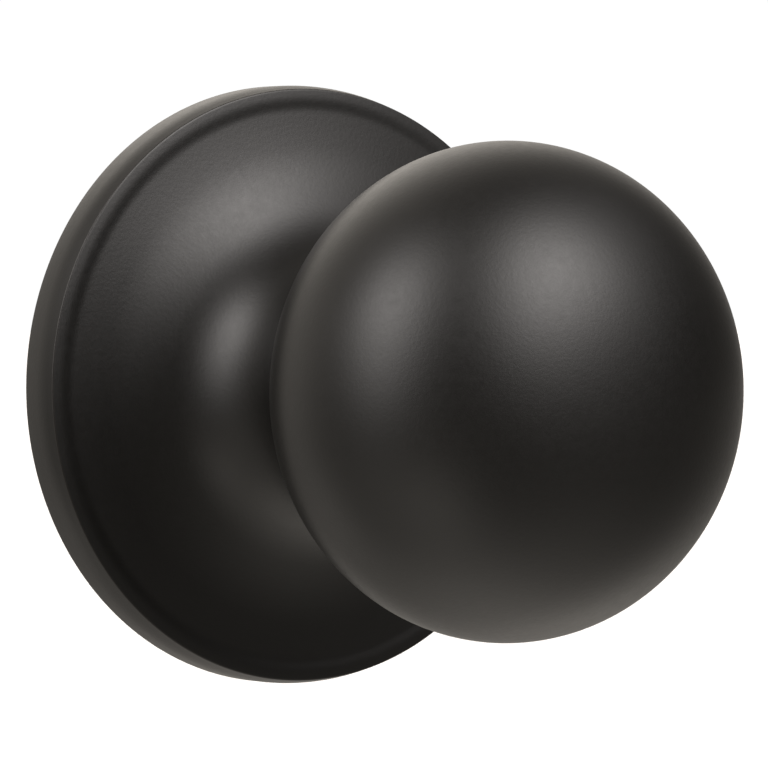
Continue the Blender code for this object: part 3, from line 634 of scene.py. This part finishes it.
def ear_outline(side):
    """One of the cage's two ears, from inside the cup's wall out round its screw."""
    start = CAGE_RADIUS - CAGE_WALL / 2
    inner = math.sqrt(start ** 2 - EAR_RADIUS ** 2)
    tip = arc((EAR_CENTRE, 0), EAR_RADIUS, -90, 90, 32)
    points = [(inner, -EAR_RADIUS)] + tip + [(inner, EAR_RADIUS), (start, 0)]
    return [(side * x, side * y) for x, y in points]


def make_cage():
    """A pressed cup with two ears, the spring's key and the driver's two stops."""
    low, high = CAGE_DEPTHS
    inside = CAGE_RADIUS - CAGE_WALL
    rim = high - CAGE_RIM_STEP
    floor = low + CAGE_WALL
    cup = rounded([(CAGE_RADIUS, rim, SHARP_EDGE), (CAGE_RADIUS, low, CAGE_CORNER),
                   (CAGE_HOLE, low, SOFT_EDGE), (CAGE_HOLE, floor, SOFT_EDGE),
                   (inside, floor, ROUND_EDGE), (inside, rim, SHARP_EDGE)], 6)
    cage = lathe("cage", cup, MEDIUM)
    wall = CAGE_RADIUS - CAGE_WALL / 2
    joined = [prism("ear", ear_outline(side), high - EAR_SHEET, high) for side in (-1, 1)]
    joined.append(sector("key", STOP_RADIUS, wall, SPRING_KEY_ANGLE, SPRING_KEY_HALF_ANGLE,
                         *SPRING_KEY_DEPTHS))
    joined += [sector("stop", STOP_RADIUS, wall, angle, STOP_HALF_ANGLE, low + CAGE_WALL / 2,
                      STOP_FRONT) for angle in STOP_ANGLES]
    cut(cage, joined, operation="UNION")
    behind = high - EAR_SHEET - 2 * CUTTER_REACH
    holes = [rod("hole", SCREW_RADIUS + GAP, behind, high + CUTTER_REACH, (side * EAR_CENTRE, 0))
             for side in (-1, 1)]
    return cut(cage, holes, SHARP_EDGE)


def spring_path():
    """Leg, coil and leg as (radius, angle, depth) points."""
    bend = LEG_BEND / COIL_RADIUS
    start = math.radians(90 + LEG_ANGLE) + bend
    stop = math.radians(90 - LEG_ANGLE) - bend + math.tau * COIL_TURNS
    low, high = COIL_DEPTHS

    def leg(turn, depth, sweep):
        points = []
        for i in range(1, LEG_STEPS + 1):
            part = i / LEG_STEPS
            radius = COIL_RADIUS + LEG_BEND * (1 - math.cos(part * math.pi / 2))
            points.append((radius, turn + sweep * bend * part, depth))
        return points + [(LEG_TIP, turn + sweep * bend, depth)]

    count = COIL_STEPS * COIL_TURNS
    coil = [(COIL_RADIUS, start + (stop - start) * i / count, low + (high - low) * i / count)
            for i in range(count + 1)]
    return list(reversed(leg(start, low, -1))) + coil + leg(stop, high, 1)


def make_spring():
    curve = bpy.data.curves.new("spring", "CURVE")
    curve.dimensions = "3D"
    curve.bevel_depth = COIL_WIRE
    curve.bevel_resolution = 6
    curve.use_fill_caps = True
    spline = curve.splines.new("POLY")
    path = spring_path()
    spline.points.add(len(path) - 1)
    for point, place in zip(spline.points, path):
        point.co = (*to_world(*place), 1)
    drawn = bpy.data.objects.new("spring_curve", curve)
    bpy.context.scene.collection.objects.link(drawn)
    bpy.context.view_layer.update()
    graph = bpy.context.evaluated_depsgraph_get()
    mesh = bpy.data.meshes.new_from_object(drawn.evaluated_get(graph))
    bpy.data.objects.remove(drawn, do_unlink=True)
    mesh.shade_smooth()
    mark_edges(mesh)
    item = bpy.data.objects.new("spring", mesh)
    bpy.context.scene.collection.objects.link(item)
    return item


def make_screw(name, x):
    """A pan-head screw with a straight slot; its head faces into the door."""
    seat = CAGE_DEPTHS[1] - EAR_SHEET - GAP
    crown_radius, crown = SCREW_CROWN
    profile = rounded([(0, SCREW_TIP, 0), (SCREW_RADIUS, SCREW_TIP, SOFT_EDGE),
                       (SCREW_RADIUS, seat, SHARP_EDGE), (SCREW_HEAD_RADIUS, seat, SCREW_SEAT_EDGE),
                       (SCREW_HEAD_RADIUS, seat - SCREW_HEAD_SIDE, SCREW_HEAD_EDGE),
                       (crown_radius, seat - crown, SCREW_CROWN_FILLET),
                       (0, seat - SCREW_HEAD_HEIGHT, 0)], 6, closed=False)
    screw = lathe(name, profile, SMALL, closed=False, centre=(x, 0))
    left, right = x - SLOT_REACH, x + SLOT_REACH
    slot = [(left, -SLOT_HALF_WIDTH), (right, -SLOT_HALF_WIDTH), (right, SLOT_HALF_WIDTH),
            (left, SLOT_HALF_WIDTH)]
    blade = prism("slot", slot, seat - 2 * CUTTER_REACH, seat - SLOT_FLOOR)
    return cut(screw, [blade], FINE_BEVEL)


def make_clip(number, angle, spot):
    """A bent spring strip: its foot lies on the plate and its leg presses on the rose's rim."""
    foot = PLATE_SHEET + GAP
    elbow = (CLIP_ELBOW, foot - CLIP_BEND)
    inner = [(CLIP_FOOT, foot)] + arc(elbow, CLIP_BEND, 90, 0, 8) + [CLIP_TIP_INNER]
    outer = [CLIP_TIP_OUTER] + arc(elbow, CLIP_BEND + CLIP_SHEET, 0, 90, 8)
    outer.append((CLIP_FOOT, foot + CLIP_SHEET))
    outline = inner + outer
    turn = math.radians(angle)
    across = Vector((-math.sin(turn), 0, math.cos(turn))) * (CLIP_WIDTH / 2)
    points = [to_world(radius, turn, depth) + side * across for side in (-1, 1)
              for radius, depth in outline]
    clip = mesh_object(f"clip_{number}", points, slab_faces(len(outline)))
    return cut(clip, [rod("hole", RIVET_RADIUS + GAP, 0, CLIP_CUT, spot)], SHARP_EDGE)


def make_rivet(number, spot):
    """A low dome on the clip and a shaft down through the plate."""
    seat = PLATE_SHEET + CLIP_SHEET + 2 * GAP
    dome = [(radius * RIVET_DOME_SPREAD, depth)
            for radius, depth in arc((0, seat), RIVET_DOME, 90, 0, 12)]
    dome[0] = (0.0, dome[0][1])
    shaft = rounded([(RIVET_RADIUS, seat, 0), (RIVET_RADIUS, RIVET_END, SOFT_EDGE),
                     (0, RIVET_END, 0)], 4, closed=False)
    return lathe(f"rivet_{number}", dome + shaft, SMALL, closed=False, centre=spot)


def make_shank():
    """The tube that the knob turns on: a wide head, the ring's groove and a chamfered rear end."""
    inset = CAP_BODY_SHEET + GAP
    head = ball_point(rear_turn(FLANGE_RADIUS, inset), inset)[1] + FLANGE_SHEET + GAP
    groove_low, groove_high = RING_GROOVE
    corners = [(SHANK_HEAD_RADIUS, SHANK_FRONT, SOFT_EDGE), (SHANK_HEAD_RADIUS, head, SOFT_EDGE),
               (SHANK_RADIUS, head, 0), (SHANK_RADIUS, groove_high, SHARP_EDGE),
               (RING_GROOVE_RADIUS, groove_high, SHARP_EDGE),
               (RING_GROOVE_RADIUS, groove_low, SHARP_EDGE), (SHANK_RADIUS, groove_low, SHARP_EDGE),
               (SHANK_RADIUS, SHANK_REAR + SHANK_CHAMFER, SHANK_CHAMFER_EDGE),
               (SHANK_RADIUS - SHANK_CHAMFER, SHANK_REAR, SHANK_CHAMFER_EDGE),
               (SHANK_BORE, SHANK_REAR, SOFT_EDGE), (SHANK_BORE, SHANK_FRONT, SOFT_EDGE)]
    return cut(lathe("shank", rounded(corners, 4), MEDIUM), [pin_cutter()])


def pin_cutter():
    """A round cutter across the shank for its cross pin."""
    height, depth = PIN_CENTRE
    pin = rod("pin_hole", PIN_RADIUS + GAP, -PIN_CUT, PIN_CUT, facets=PIN_FACETS)
    across = Matrix.Rotation(math.radians(90), 4, "Z")
    pin.data.transform(Matrix.Translation((0, -depth, height)) @ across)
    return pin


def spindle_outline(margin):
    """A round bar with a flat along its lower side, enlarged by a margin."""
    radius = SPINDLE_RADIUS + margin
    flat = math.degrees(math.asin((SPINDLE_FLAT - margin) / radius))
    points = arc((0, 0), radius, flat, 180 - flat, 56)
    middle = [(*point, 0) for point in points[3:-3]]
    return rounded([(*points[0], ROUND_EDGE)] + middle + [(*points[-1], ROUND_EDGE)], 5)


def make_spindle():
    bar = prism("spindle_bar", spindle_outline(0), *SPINDLE_DEPTHS)
    add_bevel(bar, SPINDLE_CHAMFER, 1, 60)
    keep_result(bar)
    return cut(bar, [pin_cutter()], FINE_BEVEL)


def make_plug():
    """A round plug with the spindle's bore and the cross pin's hole through it."""
    low, high = PLUG_DEPTHS
    radius = SHANK_BORE - GAP
    profile = rounded([(0, high, 0), (radius, high, ROUND_EDGE), (radius, low, ROUND_EDGE),
                       (0, low, 0)], 5, closed=False)
    plug = lathe("plug", profile, MEDIUM, closed=False)
    bore = prism("bore", spindle_outline(GAP), low - CUTTER_REACH, high + CUTTER_REACH)
    return cut(plug, [bore, pin_cutter()], HOLE_BEVEL)


def make_washers():
    """A flat thrust washer behind the cage, and a wave washer between it and the ring."""
    high = CAGE_DEPTHS[0] - GAP
    bore = SHANK_RADIUS + GAP
    flat = ring(bore, THRUST_RADIUS, high - THRUST_SHEET, high, WASHER_EDGE)
    thrust = lathe("thrust", flat, MEDIUM)
    thin = ring(bore, WAVE_RADIUS, WAVE_MIDDLE - WAVE_HALF_SHEET, WAVE_MIDDLE + WAVE_HALF_SHEET,
                FINE_BEVEL)
    wave = lathe("wave", thin, MEDIUM)
    for vertex in wave.data.vertices:
        angle = math.atan2(vertex.co.z, vertex.co.x)
        vertex.co.y -= WAVE_HEIGHT * math.sin(WAVE_COUNT * angle)
    return thrust, wave


def make_ring():
    """An external retaining ring with a lug and a plier hole at each end."""
    bore, body, lug = RING_RADII
    outside = []
    for i in range(RING_STEPS + 1):
        turn = -RING_HALF_ANGLE + 2 * RING_HALF_ANGLE * i / RING_STEPS
        reach = (RING_HALF_ANGLE - abs(turn) - LUG_ANGLE) / LUG_BLEND_ANGLE
        reach = min(1.0, max(0.0, reach))
        radius = lug + (body - lug) * (1 - math.cos(math.pi * reach)) / 2
        angle = math.radians(90 + turn)
        outside.append((radius * math.cos(angle), radius * math.sin(angle)))
    inner = arc((0, 0), bore, 90 + RING_HALF_ANGLE, 90 - RING_HALF_ANGLE, RING_STEPS)
    low, high = RING_GROOVE[0] + GAP, RING_GROOVE[1] - GAP
    clip = prism("snap_ring", outside + inner, low, high)
    holes = []
    for side in (-1, 1):
        angle = math.radians(90 + side * (RING_HALF_ANGLE - LUG_HOLE_ANGLE))
        spot = (LUG_HOLE_PLACE * math.cos(angle), LUG_HOLE_PLACE * math.sin(angle))
        holes.append(rod("hole", LUG_HOLE_RADIUS, low - CUTTER_REACH, high + CUTTER_REACH, spot,
                         PIN_FACETS))
    return cut(clip, holes, SHARP_EDGE)


def finish_piece(item, body, slot, *nodes):
    """Gives a new piece its material, body and slot, and hides the CAD nodes it stands for."""
    item.data.materials.clear()
    item.data.materials.append(materials[slot])
    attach(item, body)
    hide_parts(*nodes)


# ---------------------------------------------------------------- materials

class Finish:
    """A node material built from a Principled BSDF."""

    def __init__(self, name, roughness, metallic=0.0, specular=0.5):
        self.material = bpy.data.materials.new(name)
        self.material.use_nodes = True
        self.tree = self.material.node_tree
        self.shader = self.tree.nodes["Principled BSDF"]
        self.shader.inputs["Metallic"].default_value = metallic
        self.shader.inputs["Roughness"].default_value = roughness
        self.shader.inputs["Specular IOR Level"].default_value = specular
        self.place = self.node("ShaderNodeTexCoord").outputs["Object"]

    def node(self, kind, **values):
        made = self.tree.nodes.new(kind)
        for key, value in values.items():
            setattr(made, key, value)
        return made

    def link(self, source, target):
        self.tree.links.new(source, target)

    def noise(self, scale, detail, rough=0.55, place=None):
        made = self.node("ShaderNodeTexNoise")
        made.inputs["Scale"].default_value = scale
        made.inputs["Detail"].default_value = detail
        made.inputs["Roughness"].default_value = rough
        self.link(place or self.place, made.inputs["Vector"])
        return made.outputs["Fac"]

    def span(self, source, low, high, out_low, out_high):
        made = self.node("ShaderNodeMapRange")
        for key, value in (("From Min", low), ("From Max", high), ("To Min", out_low),
                           ("To Max", out_high)):
            made.inputs[key].default_value = value
        self.link(source, made.inputs["Value"])
        return made.outputs["Result"]

    def blend(self, factor, first, second):
        made = self.node("ShaderNodeMix", data_type="RGBA")
        self.link(factor, made.inputs["Factor"])
        for socket, value in ((made.inputs[6], first), (made.inputs[7], second)):
            if isinstance(value, tuple):
                socket.default_value = (*value, 1)
            else:
                self.link(value, socket)
        return made.outputs[2]

    def edges(self, low=0.35, high=1.0):
        """1 on tight outer edges, where a coat wears thin or bare metal is burnished."""
        marks = self.node("ShaderNodeAttribute", attribute_name="edge")
        return self.span(marks.outputs["Fac"], low, high, 0, 1)

    def turned_lines(self, scale):
        """Fine lines round the knob's axis, as a lathe or a spinning tool leaves."""
        parts = self.node("ShaderNodeSeparateXYZ")
        self.link(self.place, parts.inputs["Vector"])
        flat = self.node("ShaderNodeCombineXYZ")
        self.link(parts.outputs["X"], flat.inputs["X"])
        self.link(parts.outputs["Z"], flat.inputs["Z"])
        length = self.node("ShaderNodeVectorMath", operation="LENGTH")
        self.link(flat.outputs["Vector"], length.inputs[0])
        lines = self.node("ShaderNodeCombineXYZ")
        self.link(length.outputs["Value"], lines.inputs["X"])
        self.link(parts.outputs["Y"], lines.inputs["Y"])
        return self.noise(scale, 3, 0.5, lines.outputs["Vector"])

    def bump(self, source, strength, distance):
        made = self.node("ShaderNodeBump")
        made.inputs["Strength"].default_value = strength
        made.inputs["Distance"].default_value = distance
        self.link(source, made.inputs["Height"])
        self.link(made.outputs["Normal"], self.shader.inputs["Normal"])

    def colour(self, source):
        self.link(source, self.shader.inputs["Base Color"])

    def roughness(self, source):
        self.link(source, self.shader.inputs["Roughness"])


def satin_black():
    """A warm black satin coat: faint mottle, a fine even grain and slightly rubbed edges."""
    coat = Finish("satin_black_coat", 0.36)
    base = coat.blend(coat.noise(150, 3), (0.0036, 0.0033, 0.0029), (0.0048, 0.0044, 0.0039))
    coat.colour(coat.blend(coat.edges(0.6, 1.6), base, (0.020, 0.017, 0.014)))
    coat.roughness(coat.span(coat.noise(1100, 6, 0.75), 0.3, 0.7, 0.33, 0.39))
    coat.bump(coat.noise(2400, 4, 0.6), 0.6, COAT_GRAIN_DEPTH)
    return coat.material


def metal(name, dark, light, roughness, grain, turned=False, bump=0.12):
    """Bare or plated metal: cloudy colour, grain or turned lines, and burnished edges."""
    made = Finish(name, roughness, metallic=1.0)
    base = made.blend(made.span(made.noise(210, 5, 0.6), 0.3, 0.7, 0, 1), dark, light)
    burnished = tuple(min(1.0, part * 1.3) for part in light)
    made.colour(made.blend(made.edges(), base, burnished))
    fine = made.turned_lines(grain) if turned else made.noise(grain, 4, 0.6)
    made.roughness(made.span(fine, 0.25, 0.75, roughness - 0.07, roughness + 0.09))
    made.bump(fine, bump, GRAIN_DEPTH)
    return made.material


def nylon():
    """Milky moulded nylon with a faint grain."""
    made = Finish("nylon_moulding", 0.5, specular=0.45)
    made.colour(made.blend(made.noise(300, 4), (0.66, 0.64, 0.58), (0.74, 0.72, 0.66)))
    made.roughness(made.span(made.noise(900, 3), 0.3, 0.7, 0.42, 0.56))
    made.bump(made.noise(2600, 2), 0.08, GRAIN_DEPTH)
    return made.material


# ---------------------------------------------------------------- build

materials = {
    "satin_black": satin_black(),
    "zinc_plate": metal("zinc_plate_bright", (0.50, 0.51, 0.53), (0.63, 0.64, 0.66), 0.32, 900),
    "steel": metal("turned_steel", (0.36, 0.36, 0.37), (0.48, 0.48, 0.49), 0.30, 2600, turned=True),
    "cast_zinc": metal("cast_zinc_grey", (0.31, 0.32, 0.34), (0.42, 0.43, 0.45), 0.46, 1500, bump=0.3),
    "spring_steel": metal("spring_steel_dark", (0.15, 0.15, 0.16), (0.24, 0.24, 0.25), 0.30, 1300),
    "nylon": nylon(),
}


def make_knob():
    finish_piece(make_ball(), "knob", "satin_black", "knob_shell")
    finish_piece(make_neck(), "knob", "satin_black", "knob_back")
    finish_piece(make_shank(), "knob", "steel", "shank_tube")
    finish_piece(make_plug(), "knob", "cast_zinc", "spindle_plug")
    finish_piece(make_spindle(), "knob", "steel", "spindle")
    thrust, wave = make_washers()
    finish_piece(thrust, "knob", "steel", "thrust_washer")
    finish_piece(wave, "knob", "spring_steel", "wave_washer")
    finish_piece(make_ring(), "knob", "spring_steel", "retaining_ring")


def make_fixed_side():
    finish_piece(make_rose(), "rose", "satin_black", "rose_cover")
    finish_piece(make_plate(), "rose", "zinc_plate", "mounting_plate")
    finish_piece(make_hub(), "rose", "zinc_plate", "hub_tube")
    front, rear = make_bushings()
    finish_piece(front, "rose", "nylon", "front_bushing")
    finish_piece(rear, "rose", "nylon", "rear_bushing")
    finish_piece(make_post("post_top", POST_SPACING / 2), "rose", "zinc_plate", "post_upper")
    finish_piece(make_post("post_bottom", -POST_SPACING / 2), "rose", "zinc_plate", "post_lower")
    finish_piece(make_cage(), "rose", "zinc_plate", "spring_cage")
    finish_piece(make_spring(), "rose", "spring_steel", "return_spring")
    finish_piece(make_screw("screw_left", -EAR_CENTRE), "rose", "steel", "cage_screw_left")
    finish_piece(make_screw("screw_right", EAR_CENTRE), "rose", "steel", "cage_screw_right")
    for number, (angle, spot) in enumerate(zip(CLIP_ANGLES, rivet_spots()), 1):
        finish_piece(make_clip(number, angle, spot), "rose", "spring_steel", f"rose_clip_{number}")
        finish_piece(make_rivet(number, spot), "rose", "steel", f"clip_rivet_{number}")


def dress_kept_nodes():
    """Gives the CAD nodes that stay their materials."""
    for name, slot in KEPT_NODES.items():
        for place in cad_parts[name].material_slots:
            place.material = materials[slot]


# ---------------------------------------------------------------- studio

def make_floor():
    """A pale floor that only the camera sees; the studio's light already holds its glow."""
    corners = [(x * FLOOR_REACH, y * FLOOR_REACH, FLOOR_HEIGHT)
               for x, y in ((-1, -1), (1, -1), (1, 1), (-1, 1))]
    mesh = bpy.data.meshes.new("floor")
    mesh.from_pydata(corners, [], [(0, 1, 2, 3)])
    floor = bpy.data.objects.new("floor", mesh)
    bpy.context.scene.collection.objects.link(floor)
    pale = bpy.data.materials.new("pale_floor")
    pale.use_nodes = True
    shader = pale.node_tree.nodes["Principled BSDF"]
    shader.inputs["Base Color"].default_value = (*FLOOR_COLOUR, 1)
    shader.inputs["Roughness"].default_value = FLOOR_ROUGHNESS
    mesh.materials.append(pale)
    for ray in ("visible_diffuse", "visible_glossy", "visible_transmission", "visible_shadow"):
        setattr(floor, ray, False)


def add_node(tree, kind, **values):
    made = tree.nodes.new(kind)
    for key, value in values.items():
        setattr(made, key, value)
    return made


def sum_lights(tree, direction, lights, base):
    """The strength, along a direction, of soft round lights added to a base socket."""
    total = base
    for toward, tightness, strength in lights:
        dot = add_node(tree, "ShaderNodeVectorMath", operation="DOT_PRODUCT")
        dot.inputs[1].default_value = Vector(toward).normalized()
        tree.links.new(direction, dot.inputs[0])
        falloff = add_node(tree, "ShaderNodeMath", operation="MULTIPLY_ADD")
        falloff.inputs[1].default_value = tightness
        falloff.inputs[2].default_value = -tightness
        tree.links.new(dot.outputs["Value"], falloff.inputs[0])
        glow = add_node(tree, "ShaderNodeMath", operation="EXPONENT")
        tree.links.new(falloff.outputs[0], glow.inputs[0])
        added = add_node(tree, "ShaderNodeMath", operation="MULTIPLY_ADD")
        added.inputs[1].default_value = strength
        added.inputs[2].default_value = 0.0
        tree.links.new(glow.outputs[0], added.inputs[0])
        if total:
            tree.links.new(total, added.inputs[2])
        total = added.outputs[0]
    return total


def from_below(tree, direction):
    """The faint even light that a pale floor throws up."""
    height = add_node(tree, "ShaderNodeSeparateXYZ")
    tree.links.new(direction, height.inputs[0])
    below = add_node(tree, "ShaderNodeMath", operation="LESS_THAN")
    below.inputs[1].default_value = 0.0
    tree.links.new(height.outputs["Z"], below.inputs[0])
    faint = add_node(tree, "ShaderNodeMath", operation="MULTIPLY")
    faint.inputs[1].default_value = FLOOR_BASE
    tree.links.new(below.outputs[0], faint.inputs[0])
    return faint.outputs[0]


def backdrop(tree, colour, strength):
    shader = add_node(tree, "ShaderNodeBackground")
    shader.inputs["Color"].default_value = (*colour, 1)
    if isinstance(strength, float):
        shader.inputs["Strength"].default_value = strength
    else:
        tree.links.new(strength, shader.inputs["Strength"])
    return shader.outputs[0]


def make_world():
    """White to the camera, and soft round lights to everything else."""
    world = bpy.data.worlds.new("studio")
    bpy.context.scene.world = world
    world.use_nodes = True
    tree = world.node_tree
    tree.nodes.clear()
    toward = add_node(tree, "ShaderNodeVectorMath", operation="NORMALIZE")
    tree.links.new(add_node(tree, "ShaderNodeTexCoord").outputs["Generated"], toward.inputs[0])
    direction = toward.outputs[0]
    keys = sum_lights(tree, direction, KEY_RIGHT + KEY_LEFT, None)
    fill = sum_lights(tree, direction, BACK_GLOW + FLOOR_GLOW, from_below(tree, direction))
    both = add_node(tree, "ShaderNodeAddShader")
    tree.links.new(backdrop(tree, KEY_COLOUR, keys), both.inputs[0])
    tree.links.new(backdrop(tree, FILL_COLOUR, fill), both.inputs[1])
    seen = add_node(tree, "ShaderNodeMixShader")
    tree.links.new(add_node(tree, "ShaderNodeLightPath").outputs["Is Camera Ray"], seen.inputs["Fac"])
    tree.links.new(both.outputs[0], seen.inputs[1])
    tree.links.new(backdrop(tree, (1, 1, 1), BACKDROP_STRENGTH), seen.inputs[2])
    tree.links.new(seen.outputs[0], add_node(tree, "ShaderNodeOutputWorld").inputs["Surface"])


def make_camera():
    """A long lens to the left of the knob's axis, almost level with it."""
    level = math.cos(CAMERA_ELEVATION)
    back = Vector((math.sin(CAMERA_AZIMUTH) * level, -math.cos(CAMERA_AZIMUTH) * level,
                   math.sin(CAMERA_ELEVATION)))
    data = bpy.data.cameras.new("camera")
    data.lens = CAMERA_LENS
    data.sensor_width = CAMERA_SENSOR
    camera = bpy.data.objects.new("camera", data)
    bpy.context.scene.collection.objects.link(camera)
    camera.location = back * CAMERA_DISTANCE
    camera.rotation_euler = (CAMERA_AIM - camera.location).to_track_quat("-Z", "Y").to_euler()
    bpy.context.scene.camera = camera


make_knob()
make_fixed_side()
dress_kept_nodes()
make_floor()
make_world()
make_camera()
bpy.context.scene.view_settings.view_transform = "Standard"
